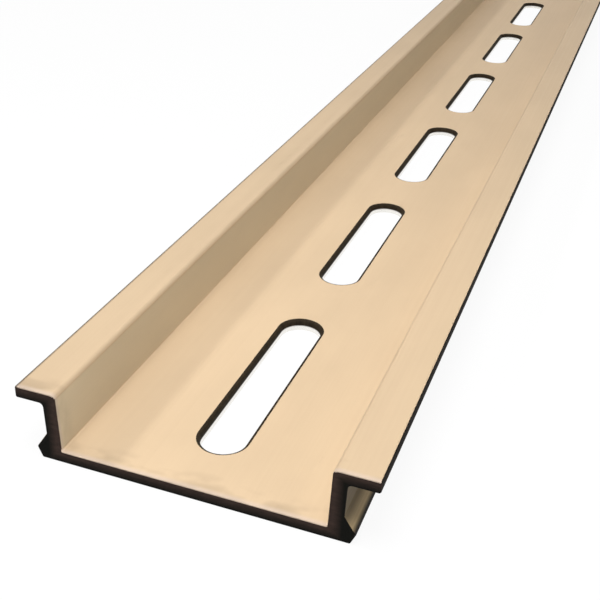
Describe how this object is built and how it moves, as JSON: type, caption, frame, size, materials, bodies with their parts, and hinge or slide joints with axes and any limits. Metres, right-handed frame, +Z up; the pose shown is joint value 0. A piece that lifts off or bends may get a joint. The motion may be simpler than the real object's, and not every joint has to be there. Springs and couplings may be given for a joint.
{
  "type": "din rail",
  "caption": "Aluminium mounting rail of top-hat section, 35 mm wide, with a row of long slots in its base and small outward feet at its bottom edges.",
  "frame": {"origin": "middle of the underside, at the rail's mid length", "axes": "+X across the rail, +Y along it from the end that the picture shows, +Z up from the base to the flanges"},
  "size_m": [0.035, 1, 0.0075],
  "materials": {
    "aluminium": "satin extruded aluminium with a warm tint, fine lines along its length and sawn ends"
  },
  "bodies": {
    "root": {"rail": "aluminium"}
  },
  "joints": []
}
